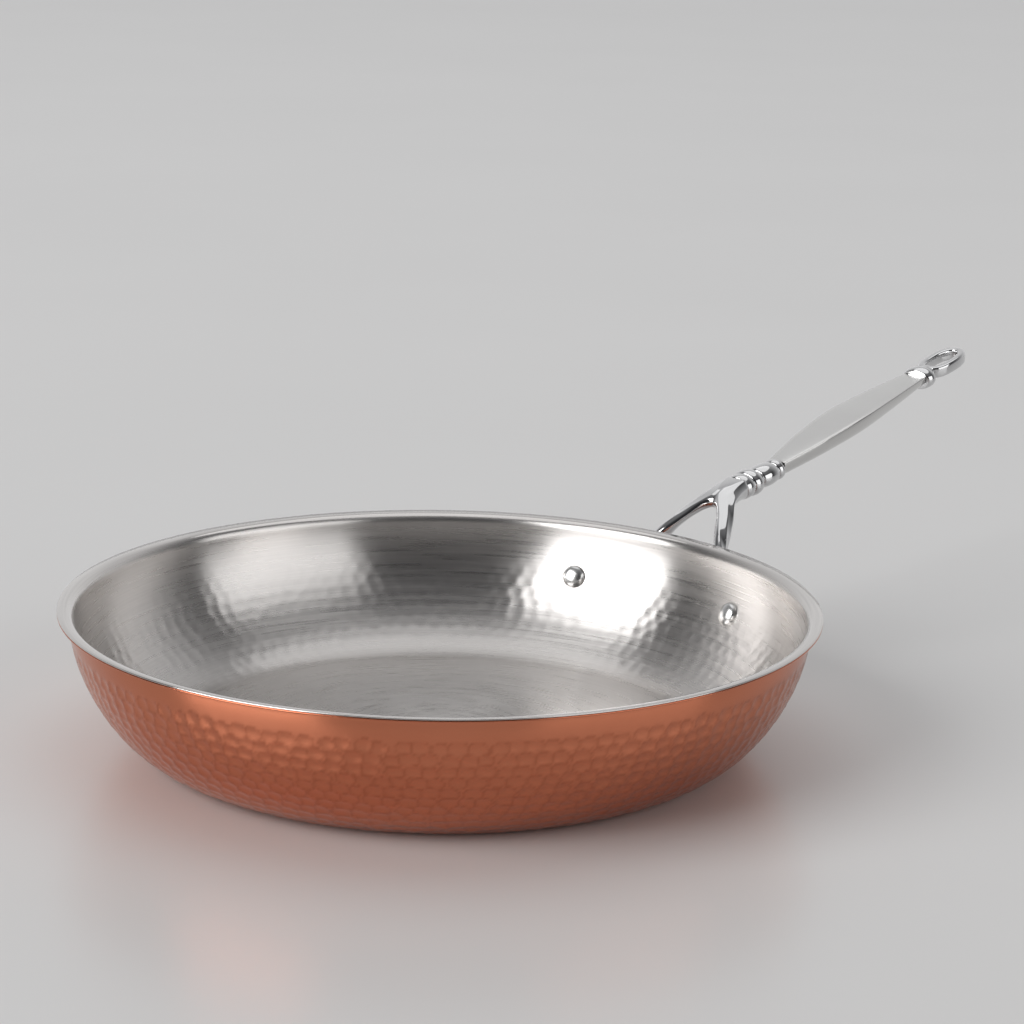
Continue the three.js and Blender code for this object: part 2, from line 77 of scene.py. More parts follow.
LEG_WIDTH = 7.0
LEG_THICKNESS = 4.9
FOOT_WIDTH = 15.0
FOOT_THICKNESS = 4.4
FOOT_LENGTH = 9.0
FOOT_SLANT = math.radians(34)
TOE_WIDTH = 7.0
LEG_ROOT_SPREAD = 3.2
LEG_ROOT_DROP = 0.4
# A leg's bends: past the lip, sideways and above the lip
LEG_BENDS = [(28.0, 6.4, 9.9), (21.0, 9.9, 5.3)]
# Its way down the wall: clear of the lip, sideways and below the lip
LEG_DROPS = [(11.4, 15.8, 3.6), (3.6, 21.6, 15.0)]

FORK_BEAD_RADIUS = 6.3
FORK_BEAD_WIDTH = 5.6
NECK_BEAD_RADIUS = 6.7
NECK_BEAD_WIDTH = 6.0
GROOVE_RADIUS = 5.5
WAIST_RADIUS = 4.2
WAIST_LENGTH = 2.4
BULB_RADIUS = 5.7
BULB_LENGTH = 11.6
NECK_OVAL = 1.12

FRONT_RADIUS = 5.1
FRONT_WIDTH = 4.2
FRONT_OVAL = 1.08
REAR_RADIUS = 6.5
REAR_WIDTH = 6.0
REAR_OVAL = 1.24
BEAD_SHOULDER = 1.1
BEAD_CHAMFER = 0.5
GRIP_LENGTH = 110.6
GRIP_FRONT = Vector((8.8, 7.2, 3.1))
GRIP_MIDDLE = Vector((20.6, 10.1, 4.7))
GRIP_REAR = Vector((11.6, 5.4, 2.4))
GRIP_CROWN = 0.3
GRIP_EDGE = 0.28
GRIP_SWELL = 0.71
GRIP_TAPER = 0.38
BELLY_FULLNESS = 0.8
FLAT_FACING = 0.9

LOOP_LENGTH = 30.7
LOOP_WIDTH = 15.8
RAIL_WIDTH = 3.8
RAIL_HEIGHT = 5.6
LOOP_LIFT = 0.3
LOOP_ROOT_LENGTH = 4.0
LOOP_ROOT_RADIUS = 4.2
# The profile of the loop's root, as (share of its radius, distance along it)
LOOP_ROOT_PROFILE = [
    (0.0, 0.0),
    (1.0, 0.0),
    (1.0, 1.4),
    (0.86, 2.8),
    (0.5, 3.8),
    (0.0, LOOP_ROOT_LENGTH),
]
LOOP_END_FULLNESS = 0.86
LOOP_ROOT_FULLNESS = 0.66
RAIL_SQUARENESS = 3.8

# Hammer marks, with sizes in millimetres and the rest as shares
MARK_WIDTH = 6.8
MARK_PITCH = 5.0
MARK_DEPTH = 0.5
FIRST_ROW = 6.5
LAST_ROW = 61.0
MARK_SPREAD_ROUND = 0.62
MARK_SPREAD_UP = 0.66
MARK_SWAY = 0.36
MARK_LIFT = 0.24
MARK_WEAKENING = 0.28
MARK_RIM = 0.94
# Width of the lines between the marks, which carry painted shade
MARK_LINE = 0.3

# Scatter of the blows, as (stretch, shift, gain) of a repeatable number
ROW_SCATTER = (12.9898, 0.0, 43758.5453)
SWAY_SCATTER = (1.0, 0.0, 43758.5453)
LIFT_SCATTER = (1.37, 4.1, 24634.6345)
FORCE_SCATTER = (2.11, 9.7, 31415.9265)
BLOW_SEED = 78.233
ROW_SEED = 37.719

# Swells that the blows leave in the lining
LINING_SWELL = 0.14
SWELL_ROUNDING = 1.3
SWELL_FOOT = 8.0
SWELL_FOOT_FADE = 10.0
SWELL_TOP = 60.0
SWELL_TOP_FADE = 20.0

# Fineness of the meshes
SIDE_POINTS = 4001
SHELL_ROWS = 62
SHELL_STEPS = 1000
LINING_ROWS = 60
LINING_STEPS = 760
CORE_ROWS = 24
CORE_STEPS = 120
HIDDEN_ROWS = 8
BEAD_STEPS = 72
RIVET_STEPS = 48
LEG_STEPS = 15
BELLY_STEPS = 28
CROWN_STEPS = 10
GRIP_STEPS = 60
LOOP_STEPS = 36
LOOP_ROOT_STEPS = 48
RAIL_POINTS = 16
SECTOR_STEPS = 20
WELD = 2e-3
MIRROR_WELD = 1e-3
MIDDLE_SLACK = 1e-5
HAIR = 0.02

QUARTER = math.pi / 2
TURN = 2 * math.pi

# Colours of the finishes
COPPER_DEEP = (0.57, 0.185, 0.1, 1.0)
COPPER_BRIGHT = (0.67, 0.24, 0.135, 1.0)
# Painted shade along the ridges where two hammer blows meet
COPPER_RIDGE_SHADE = (0.3, 0.075, 0.035, 1.0)
LINING_DARK = (0.56, 0.541, 0.527, 1.0)
LINING_LIGHT = (0.735, 0.71, 0.692, 1.0)
POLISHED_STEEL = (0.74, 0.74, 0.745, 1.0)
RIVET_STEEL = (0.78, 0.78, 0.775, 1.0)
GRIP_DARK = (0.68, 0.675, 0.665, 1.0)
GRIP_LIGHT = (0.74, 0.735, 0.725, 1.0)
ALUMINIUM = (0.76, 0.77, 0.79, 1.0)
ROD_STEEL = (0.7, 0.7, 0.7, 1.0)
FLOOR_DARK = (0.68, 0.675, 0.67, 1.0)
FLOOR_LIGHT = (0.72, 0.715, 0.71, 1.0)
OVERHEAD = (0.22, 0.22, 0.225, 1.0)
BACKDROP = (0.8, 0.8, 0.805, 1.0)


class Shade:
    """A shader socket. Arithmetic on it adds Math nodes, and node() adds any other."""

    def __init__(self, tree, socket=None):
        self.tree = tree
        self.socket = socket

    def node(self, kind, settings=None, inputs=None, output=0):
        made = self.tree.nodes.new(kind)
        for key, value in (settings or {}).items():
            if key == "stops":
                ramp = made.color_ramp.elements
                while len(ramp) < len(value):
                    ramp.new(1.0)
                for stop, (place, colour) in zip(ramp, value):
                    stop.position = place
                    stop.color = (*colour, 1.0)
            else:
                setattr(made, key, value)
        for key, value in (inputs or {}).items():
            if isinstance(value, Shade):
                self.tree.links.new(value.socket, made.inputs[key])
            else:
                made.inputs[key].default_value = value
        return Shade(self.tree, made.outputs[output] if made.outputs else None)

    def other(self, output):
        return Shade(self.tree, self.socket.node.outputs[output])

    def math(self, operation, *values):
        return self.node("ShaderNodeMath", {"operation": operation}, dict(enumerate(values)))

    def __add__(self, other):
        return self.math("ADD", self, other)

    def __sub__(self, other):
        return self.math("SUBTRACT", self, other)

    def __rsub__(self, other):
        return self.math("SUBTRACT", other, self)

    def __mul__(self, other):
        return self.math("MULTIPLY", self, other)

    def __truediv__(self, other):
        return self.math("DIVIDE", self, other)

    def __rtruediv__(self, other):
        return self.math("DIVIDE", other, self)

    __radd__ = __add__
    __rmul__ = __mul__

    def blend(self, first, second):
        """A colour from first, where this value is 0, to second, where it is 1."""
        # The Mix node keeps its two colours in sockets 6 and 7, and their blend in output 2
        return self.node(
            "ShaderNodeMix",
            {"data_type": "RGBA"},
            {0: self, 6: first, 7: second},
            2,
        )


# Finishes


def finish(name):
    """A new material, and the shade that starts its nodes."""
    material = bpy.data.materials.new(name)
    material.use_nodes = True
    material.node_tree.nodes.clear()
    return material, Shade(material.node_tree)


def metal(start, inputs):
    """The metal shader on a material's output."""
    shader = start.node("ShaderNodeBsdfPrincipled", None, {"Metallic": 1.0, **inputs})
    start.node("ShaderNodeOutputMaterial", None, {"Surface": shader})


def object_place(start):
    return start.node("ShaderNodeTexCoord", None, None, "Object")


def point_value(start, name):
    """A value kept on the points of a piece."""
    return start.node("ShaderNodeAttribute", {"attribute_name": name}, None, "Fac")


def grain(start, vector, scale, detail=2.0):
    """Noise over a vector."""
    return start.node(
        "ShaderNodeTexNoise",
        None,
        {"Vector": vector, "Scale": scale, "Detail": detail},
    )


def buffing_lines(start, place, along, across):
    """Fine lines along the handle."""
    drawn = start.node(
        "ShaderNodeMapping",
        None,
        {"Vector": place, "Scale": (along, across, across)},
    )
    return grain(start, drawn, scale=1.0)


def relief(start, height, strength, distance):
    """A bump for a shader's normal."""
    return start.node(
        "ShaderNodeBump",
        None,
        {"Height": height, "Strength": strength, "Distance": distance},
    )


def axis_reading(start, place):
    """Distance from the pan's axis, then x, y and z."""
    x = start.node("ShaderNodeSeparateXYZ", None, {0: place})
    y = x.other(1)
    z = x.other(2)
    return start.math("SQRT", x * x + y * y), x, y, z


def lathe_streaks(start, place, across, along):
    """Fine lines round the pan's axis: noise that is long round it and short across it."""
    radius, x, y, z = axis_reading(start, place)
    off_axis = radius + MM
    line = start.node(
        "ShaderNodeCombineXYZ",
        None,
        {0: x / off_axis * along, 1: y / off_axis * along, 2: radius * across},
    )
    return start.node(
        "ShaderNodeTexNoise",
        {"noise_dimensions": "4D"},
        {"Vector": line, "W": z * across, "Scale": 1.0, "Detail": 1.0},
    )


def copper_finish():
    """Polished copper, with painted shade: darker along the lines where two blows meet."""
    material, start = finish("hammered_copper")
    place = object_place(start)
    painted_ridge_shade = point_value(start, "crease")
    cloud = grain(start, place, scale=22.0, detail=3.0)
    speck = grain(start, place, scale=900.0)
    warm = cloud.blend(COPPER_DEEP, COPPER_BRIGHT)
    metal(start, {
        # Painted shade: the base colour darkens along the ridges where two blows meet
        "Base Color": (painted_ridge_shade * 0.34).blend(warm, COPPER_RIDGE_SHADE),
        "Roughness": 0.12 + cloud * 0.05 + speck * 0.03 + painted_ridge_shade * 0.05,
        "Normal": relief(start, speck, strength=0.06, distance=0.0003),
    })
    return material


def lining_finish():
    """Steel brushed round the pan's axis, with a smoother lip."""
    material, start = finish("brushed_steel")
    place = object_place(start)
    fine = lathe_streaks(start, place, across=1300.0, along=4.0)
    broad = lathe_streaks(start, place, across=560.0, along=3.0)
    streak = (fine * 0.65 + broad * 0.35 - 0.5) * 1.4 + 0.5
    cloud = grain(start, place, scale=16.0, detail=3.0)
    reach = axis_reading(start, place)[0]
    lip = start.node(
        "ShaderNodeMapRange",
        {"interpolation_type": "SMOOTHSTEP"},
        {"Value": reach, "From Min": LIP_POLISH_START * MM, "From Max": LIP_POLISH_END * MM},
    )
    metal(start, {
        "Base Color": streak.blend(LINING_DARK, LINING_LIGHT),
        "Roughness": (0.2 + streak * 0.14 + cloud * 0.04) * (1.0 - lip * 0.6),
        "Anisotropic": 0.85,
        "Anisotropic Rotation": 0.25,
        "Normal": relief(start, streak, strength=0.005, distance=0.0002),
    })
    return material


def dimmed(colour, share):
    """A darker colour."""
    return (*(share * part for part in colour[:3]), 1.0)


def polished_finish(name, colour, roughness):
    """Mirror-polished steel with faint clouding and fine buffing lines along the handle."""
    material, start = finish(name)
    place = object_place(start)
    lines = buffing_lines(start, place, along=60.0, across=1500.0)
    cloud = grain(start, place, scale=60.0, detail=3.0)
    metal(start, {
        "Base Color": cloud.blend(dimmed(colour, 0.93), colour),
        "Roughness": roughness + cloud * 0.04 + lines * 0.03,
        "Normal": relief(start, lines, strength=0.008, distance=0.0001),
    })
    return material


def grip_finish():
    """Steel with a satin flat and a polished belly."""
    material, start = finish("satin_steel")
    place = object_place(start)
    flat = point_value(start, "flat")
    lines = buffing_lines(start, place, along=20.0, across=700.0)
    cloud = grain(start, place, scale=50.0, detail=3.0)
    metal(start, {
        "Base Color": cloud.blend(GRIP_DARK, GRIP_LIGHT),
        "Roughness": 0.07 + flat * (0.16 + lines * 0.03) + cloud * 0.03,
        "Normal": relief(start, lines * flat, strength=0.004, distance=0.0001),
    })
    return material


def dull_finish(name, colour, roughness):
    """Plain rolled metal that is out of sight on the finished pan."""
    material, start = finish(name)
    cloud = grain(start, object_place(start), scale=80.0, detail=4.0)
    metal(start, {
        "Base Color": cloud.blend(dimmed(colour, 0.85), colour),
        "Roughness": roughness + cloud * 0.12,
        "Normal": relief(start, cloud, strength=0.05, distance=0.0002),
    })
    return material


# Shaping


def gather(*parts):
    """One bmesh out of several."""
    whole = bmesh.new()
    for part in parts:
        shape = bpy.data.meshes.new("part")
        part.to_mesh(shape)
        part.free()
        whole.from_mesh(shape)
        bpy.data.meshes.remove(shape)
    return whole


def softened(bm, levels):
    """The same form after a subdivision surface."""
    shape = bpy.data.meshes.new("form")
    bm.to_mesh(shape)
    bm.free()
    form = bpy.data.objects.new("form", shape)
    bpy.context.scene.collection.objects.link(form)
    smooth = form.modifiers.new("Smooth", "SUBSURF")
    smooth.levels = levels
    smooth.render_levels = levels
    graph = bpy.context.evaluated_depsgraph_get()
    done = bpy.data.meshes.new_from_object(form.evaluated_get(graph))
    soft = bmesh.new()
    soft.from_mesh(done)
    bpy.data.objects.remove(form)
    bpy.data.meshes.remove(shape)
    bpy.data.meshes.remove(done)
    return soft


def turned(profile, steps):
    """A line of (radius, height) points spun about Z: one sector, then its copies."""
    sectors = steps // SECTOR_STEPS
    bm = bmesh.new()
    line = [bm.verts.new((radius, 0.0, height)) for radius, height in profile]
    edges = [bm.edges.new(pair) for pair in zip(line, line[1:])]
    axis = {"cent": (0.0, 0.0, 0.0), "axis": (0.0, 0.0, 1.0)}
    bmesh.ops.spin(bm, geom=line + edges, angle=TURN / sectors, steps=steps // sectors, **axis)
    sector = list(bm.verts) + list(bm.edges) + list(bm.faces)
    rest = TURN - TURN / sectors
    bmesh.ops.spin(bm, geom=sector, angle=rest, steps=sectors - 1, use_duplicate=True, **axis)
    bmesh.ops.remove_doubles(bm, verts=bm.verts, dist=WELD)
    bmesh.ops.recalc_face_normals(bm, faces=bm.faces)
    return bm


def drawn_bar(rings, closed=False):
    """A bar drawn through its sections: the end face is extruded and moved to each in turn."""
    bm = bmesh.new()
    first = [bm.verts.new(point) for point in rings[0]]
    rows = [first]
    end = bm.faces.new(first)
    for ring in rings[1:]:
        end = bmesh.ops.extrude_discrete_faces(bm, faces=[end])["faces"][0]
        for vert, point in zip(end.verts, ring):
            vert.co = point
        rows.append(list(end.verts))
    if closed:
        bmesh.ops.delete(bm, geom=[end], context="FACES_ONLY")
        size = len(first)
        seam = [
            bm.edges.get((row[k], row[(k + 1) % size]))
            for row in (rows[0], rows[-1])
            for k in range(size)
        ]
        bmesh.ops.bridge_loops(bm, edges=seam)
    bmesh.ops.recalc_face_normals(bm, faces=bm.faces)
    return bm, rows


def keep_crisp(bm, rows, index, value):
    """Keeps the line through one corner of each section crisp."""
    layer = bm.edges.layers.float.get("crease_edge") or bm.edges.layers.float.new("crease_edge")
    for row, after in zip(rows, rows[1:]):
        bm.edges.get((row[index], after[index]))[layer] = value


def closed_up(bm):
    bmesh.ops.holes_fill(bm, edges=bm.edges, sides=0)
    bmesh.ops.recalc_face_normals(bm, faces=bm.faces)
    return bm


def moved(bm, matrix):
    bmesh.ops.transform(bm, matrix=matrix, verts=bm.verts)
    return bm


def basis(x, y, z, origin):
    columns = Matrix((x, y, z)).transposed().to_4x4()
    columns.translation = origin
    return columns


def along_curve(points, share):
    """A point on the smooth curve through some points."""
    spot = (len(points) - 1) * share
    k = min(int(spot), len(points) - 2)
    w = spot - k
    before = points[k - 1] if k > 0 else points[0] * 2 - points[1]
    p, q = points[k], points[k + 1]
    beyond = points[k + 2] if k + 2 < len(points) else points[-1] * 2 - points[-2]
    d1 = (q - p).length ** 0.5 or 1.0
    d0 = (p - before).length ** 0.5 or d1
    d2 = (beyond - q).length ** 0.5 or d1
    leave = ((p - before) / d0 - (q - before) / (d0 + d1) + (q - p) / d1) * d1
    reach = ((q - p) / d1 - (beyond - p) / (d1 + d2) + (beyond - q) / d2) * d1
    return (
        p
        + leave * w
        + (q * 3 - p * 3 - leave * 2 - reach) * w**2
        + (p * 2 - q * 2 + leave + reach) * w**3
    )


def swelling(low, high, root, crest, steps=14):
    """A rounded bead on a turned profile."""
    angles = [math.pi * k / steps for k in range(steps + 1)]
    middle, half = (low + high) / 2, (high - low) / 2
    return [
        (root + (crest - root) * math.sin(a), middle - half * math.cos(a)) for a in angles
    ]


def rounded_outline(width, height, power, points):
    """An outline between an ellipse and a rounded box."""
    angles = [TURN * (k + 0.5) / points for k in range(points)]

    def bend(value):
        return math.copysign(abs(value) ** (2 / power), value)

    return [(bend(math.cos(a)) * width / 2, bend(math.sin(a)) * height / 2) for a in angles]


def piece(name, bm, material, node, attribute=None, crisp=40.0):
    """A finished piece in metres, riding with the pan in place of its solid."""
    bmesh.ops.scale(bm, vec=(MM, MM, MM), verts=bm.verts)
    shape = bpy.data.meshes.new(name)
    bm.to_mesh(shape)
    bm.free()
    shape.shade_smooth()
    shape.set_sharp_from_angle(angle=math.radians(crisp))
    if attribute is not None:
        key, values = attribute
        layer = shape.attributes.new(key, "FLOAT", "POINT")
        layer.data.foreach_set("value", np.asarray(values, np.float32))
    made = bpy.data.objects.new(name, shape)
    bpy.context.scene.collection.objects.link(made)
    made.data.materials.append(material)
    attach(made, "root")
    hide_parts(node)
    return made


# Section of the pan

WALL_TOP = LIP_RADIUS - LIP_OVERHANG
LIP_THICKNESS = COPPER + BOND + STEEL
CORE_INSET = COPPER + BOND
LINING_INSET = CORE_INSET + CORE + BOND
WALL = LINING_INSET + STEEL
BEND_RADIUS = WALL_TOP + LIP_BEND


def lip_edge(inset):
    return PAN_HEIGHT - (LIP_THICKNESS - inset) / math.cos(LIP_TILT)


COPPER_BEND = (
    lip_edge(0)
    - (LIP_RADIUS - BEND_RADIUS) * math.tan(LIP_TILT)
    - LIP_BEND / math.cos(LIP_TILT)
)
LINING_BEND = COPPER_BEND - (LINING_INSET - CORE_INSET) / math.cos(LIP_TILT)


def side_table():
    """Radius, height, rise along the side and outward normal, up the outer face."""
    power = 2 / SIDE_FULLNESS
    turns = np.linspace(0, QUARTER, SIDE_POINTS)
    radius = BASE_RADIUS + (WALL_TOP - BASE_RADIUS) * np.sin(turns) ** power
    height = LINING_BEND * (1 - np.clip(np.cos(turns), 0, 1) ** power)
    step = np.hypot(np.diff(radius), np.diff(height))
    rise = np.concatenate([[0], np.cumsum(step)])
    out = np.gradient(height, rise)
    down = -np.gradient(radius, rise)
    size = np.hypot(out, down)
    return radius, height, rise, out / size, down / size


SIDE = side_table()
SIDE_RISE = SIDE[2][-1]


def side_at(rise):
    radius, height, along, out, down = SIDE
    return [np.interp(rise, along, column) for column in (radius, height, out, down)]


def side_line(inset, steps):
    radius, height, out, down = side_at(np.linspace(0, SIDE_RISE, steps + 1))
    return list(zip(radius - out * inset, height - down * inset))


def lip_line(inset, bend_height, edge_inset, steps=6):
    bend = LIP_BEND + inset
    sweep = QUARTER - LIP_TILT
    angles = [math.pi - sweep * k / steps for k in range(1, steps + 1)]
    curl = [
        (BEND_RADIUS + bend * math.cos(a), bend_height + bend * math.sin(a)) for a in angles
    ]
    return curl + [(LIP_RADIUS, lip_edge(edge_inset))]


def floor_line(height, steps):
    return [(BASE_RADIUS * k / steps, height) for k in range(steps)]


def edge_rounded(lower, upper):
    """The lip's edge with its two corners taken off."""
    (r0, z0), (r1, z1) = lower[-1], upper[-1]
    lean = math.tan(LIP_TILT) * LIP_EDGE_ROUND
    return (
        lower[:-1] + [(r0 - LIP_EDGE_ROUND, z0 - lean), (r0, z0 + LIP_EDGE_ROUND)],
        upper[:-1] + [(r1 - LIP_EDGE_ROUND, z1 - lean), (r1, z1 - LIP_EDGE_ROUND)],
    )


def scatter(seed, key):
    """A repeatable number from 0 to 1 for each seed."""
    stretch, shift, gain = key
    return np.modf(np.abs(np.sin(seed * stretch + shift) * gain))[0]


def hammer_marks(angle, rise):
    """How far each point lies from the nearest hammer blow, 0 at its middle and 1 at its rim,
    and how near it is to a line where two blows meet."""
    rows = int(round((LAST_ROW - FIRST_ROW) / MARK_PITCH)) + 1
    nearest = np.full(angle.shape, 1.0)
    second = np.full(angle.shape, 1.0)
    home = np.rint((rise - FIRST_ROW) / MARK_PITCH).astype(int)
    for shift in (-1, 0, 1):
        row = home + shift
        level = FIRST_ROW + row * MARK_PITCH
        radius = side_at(level)[0]
        count = np.rint(TURN * radius / MARK_WIDTH)
        phase = scatter(row, ROW_SCATTER)
        spot = np.rint(angle / TURN * count - phase)
        for beside in (-1, 0, 1):
            blow = np.mod(spot + beside, count)
            seed = blow * BLOW_SEED + row * ROW_SEED
            sway = MARK_SWAY * (scatter(seed, SWAY_SCATTER) - 0.5)
            lift = MARK_LIFT * (scatter(seed, LIFT_SCATTER) - 0.5)
            force = scatter(seed, FORCE_SCATTER)
            centre = (spot + beside + phase + sway) * TURN / count
            across = np.mod(angle - centre + math.pi, TURN) - math.pi
            x = across * radius / (MARK_SPREAD_ROUND * MARK_WIDTH)
            y = (rise - level - lift * MARK_PITCH) / (MARK_SPREAD_UP * MARK_PITCH)
            reach = x * x + y * y + MARK_WEAKENING * (1 - force)
            reach = np.where((row >= 0) & (row < rows), reach, 1.0)
            second = np.minimum(second, np.maximum(nearest, reach))
            nearest = np.minimum(nearest, reach)
    line = np.exp(-(((second - nearest) / MARK_LINE) ** 2))
    return nearest, np.where(nearest < 1, line, 0.0)


def side_reading(bm):
    """Angle, distance from the axis, height and rise up the side of a turned shape's points."""
    _, height, rise, _, _ = SIDE
    x, y, z = np.array([vert.co for vert in bm.verts], float).T
    return np.arctan2(y, x), np.hypot(x, y), z, np.interp(z, height, rise)


def press_in(bm, angle, depth, out, down):
    """Moves points of the side towards the inside of the pan, square to the side."""
    for vert, turn, by, level, dip in zip(bm.verts, angle, depth, out, down):
        if by > 0:
            vert.co -= Vector((math.cos(turn) * level, math.sin(turn) * level, dip)) * by


def copper_shell():
    """The hammered shell, and how near its points are to the lines between the marks, which carry
    painted shade.
    """
    lower, upper = edge_rounded(
        side_line(0, SHELL_ROWS) + [(WALL_TOP, COPPER_BEND)] + lip_line(0, COPPER_BEND, 0),
        side_line(COPPER, HIDDEN_ROWS)
        + [(WALL_TOP - COPPER, COPPER_BEND)]
        + lip_line(COPPER, COPPER_BEND, COPPER),
    )
    under = floor_line(0, steps=4)
    over = floor_line(COPPER, steps=3)
    bm = turned(under + lower + upper[::-1] + over[::-1], SHELL_STEPS)
    angle, reach, height, rise = side_reading(bm)
    radius, _, out, down = side_at(rise)
    outer = (reach > radius - COPPER / 2) & (height > HAIR) & (height < LINING_BEND)
    mark, line = hammer_marks(angle, rise)
    sink = np.where(outer, MARK_DEPTH * np.clip(MARK_RIM - mark, 0, 1), 0.0)
    press_in(bm, angle, sink, out, down)
    # The lines between the marks carry the copper's painted shade
    return bm, ("crease", np.where(outer, line, 0.0))


def aluminium_core():
    lower = side_line(CORE_INSET, CORE_ROWS)
    upper = side_line(CORE_INSET + CORE, CORE_ROWS)
    under = floor_line(lower[0][1], steps=3)
    over = floor_line(upper[0][1], steps=3)
    return turned(under + lower + upper[::-1] + over[::-1], CORE_STEPS)


def steel_lining():
    lower, upper = edge_rounded(
        side_line(LINING_INSET, HIDDEN_ROWS) + lip_line(LINING_INSET, LINING_BEND, CORE_INSET),
        side_line(WALL, LINING_ROWS) + lip_line(WALL, LINING_BEND, LIP_THICKNESS),
    )
    under = floor_line(LINING_INSET, steps=3)
    over = floor_line(WALL, steps=6)
    bm = turned(under + lower + upper[::-1] + over[::-1], LINING_STEPS)
    angle, reach, height, rise = side_reading(bm)
    radius, _, out, down = side_at(rise)
    inner = (reach < radius - (LINING_INSET + WALL) / 2 * out) & (height > WALL + HAIR)
    foot = np.clip((rise - SWELL_FOOT) / SWELL_FOOT_FADE, 0, 1)
    top = np.clip((SWELL_TOP - rise) / SWELL_TOP_FADE, 0, 1)
    mark, _ = hammer_marks(angle, rise)
    swell = np.where(inner, LINING_SWELL * (foot * top) * (1 - mark) ** SWELL_ROUNDING, 0.0)
    press_in(bm, angle, swell, out, down)
    return bm


# Places on the wall and the handle


def wall_frame(height, azimuth):
    """On the outer face: Z out of the wall, Y up it and X round the pan."""
    _, level, rise, _, _ = SIDE
    at = np.interp(height, level, rise)
    r, z, n_out, n_down = (float(value) for value in side_at(at))
    radial = Vector((math.cos(azimuth), math.sin(azimuth), 0.0))
    around = Vector((-math.sin(azimuth), math.cos(azimuth), 0.0))
    outward = radial * n_out + Vector((0.0, 0.0, n_down))
    return basis(around, outward.cross(around), outward, radial * r + Vector((0.0, 0.0, z)))


SIDEWAYS = Vector((0.0, 1.0, 0.0))
FERRULE_POINT = Vector((LIP_RADIUS + FERRULE_REACH, 0.0, PAN_HEIGHT + FERRULE_RISE))
NECK_OUT = Vector((math.cos(NECK_TILT), 0.0, math.sin(NECK_TILT)))
NECK_UP = Vector((-math.sin(NECK_TILT), 0.0, math.cos(NECK_TILT)))
GRIP_OUT = Vector((math.cos(GRIP_TILT), 0.0, math.sin(GRIP_TILT)))
GRIP_UP = Vector((-math.sin(GRIP_TILT), 0.0, math.cos(GRIP_TILT)))
GRIP_PLACE = basis(GRIP_OUT, SIDEWAYS, GRIP_UP, FERRULE_POINT)
GRIP_TURNED = basis(SIDEWAYS, GRIP_UP, GRIP_OUT, FERRULE_POINT)
NECK_TURNED = basis(-SIDEWAYS, NECK_UP, -NECK_OUT, FERRULE_POINT)

BULB_START = FRONT_WIDTH / 2 + JOINT_GAP
WAIST_START = FRONT_WIDTH / 2 + BULB_LENGTH
NECK_BEAD_START = WAIST_START + WAIST_LENGTH
FORK_BEAD_START = NECK_BEAD_START + NECK_BEAD_WIDTH
NECK_END = FORK_BEAD_START + FORK_BEAD_WIDTH
GRIP_START = FRONT_WIDTH / 2 + JOINT_GAP
GRIP_END = GRIP_START + GRIP_LENGTH
REAR_START = GRIP_END + JOINT_GAP
LOOP_START = REAR_START + REAR_WIDTH + JOINT_GAP


def on_neck(back):
    return FERRULE_POINT - NECK_OUT * back


def neck():
    profile = [
        (0.0, BULB_START),
        *swelling(BULB_START, WAIST_START, WAIST_RADIUS, BULB_RADIUS),
        (WAIST_RADIUS, NECK_BEAD_START),
        *swelling(NECK_BEAD_START, FORK_BEAD_START, GROOVE_RADIUS, NECK_BEAD_RADIUS),
        *swelling(FORK_BEAD_START, NECK_END, GROOVE_RADIUS, FORK_BEAD_RADIUS),
        (0.0, NECK_END),
    ]
    bm = turned(profile, BEAD_STEPS)
    bmesh.ops.scale(bm, vec=(NECK_OVAL, 1 / NECK_OVAL, 1.0), verts=bm.verts)
    return moved(bm, NECK_TURNED)


# Half of the shoulder, as (back from the end of the neck, corners): a pointed flat on top,
# a ridge that runs on down the leg, and the outer and lower faces.
SHOULDER = [
    (
        -2.5,
        [(0, 5.0), (4.3, 4.7), (4.9, 4.3), (6.2, 1.6), (6.2, -1.6), (4.6, -4.4), (0, -4.6), (0, 0)],
    ),
    (
        1.2,
        [(0, 5.0), (4.2, 4.7), (4.9, 4.3), (6.5, 1.6), (6.5, -1.6), (4.8, -4.3), (0, -4.5), (0, 0)],
    ),
    (
        6.5,
        [(0, 4.5), (3.2, 4.35), (5.2, 3.6), (7.5, 1.2), (7.5, -1.4), (5.4, -3.8), (0, -4.0), (0, 0)],
    ),
    (
        11.5,
        [(0, 3.5), (1.5, 3.4), (5.5, 2.6), (8.8, 0.6), (8.9, -1.4), (6.4, -3.4), (0, -3.4), (0, -0.2)],
    ),
    (
        15.0,
        [(0, 2.4), (0.5, 2.7), (5.9, 1.8), (9.8, -0.2), (9.9, -2.0), (7.2, -3.8), (0, -2.9), (0, -0.4)],
    ),
]

# A leg's section, in shares of half its width and thickness, and how crisp its ridges are
LEG_SECTION = [
    (-1.0, 0.25),
    (-0.8, 0.72),
    (0.1, 1.04),
    (0.92, 0.5),
    (1.0, -0.3),
    (0.68, -1.0),
    (-0.68, -1.0),
    (-1.0, -0.35),
]
LEG_RIDGES = [(1, 0.75), (2, 0.6), (3, 0.4)]
LEG_FULL_WIDTH = 0.56
LEG_FULL_THICKNESS = 0.54
# The legs leave the shoulder at this share of their line
LEG_START = 0.27
LEG_NUDGE = 0.002


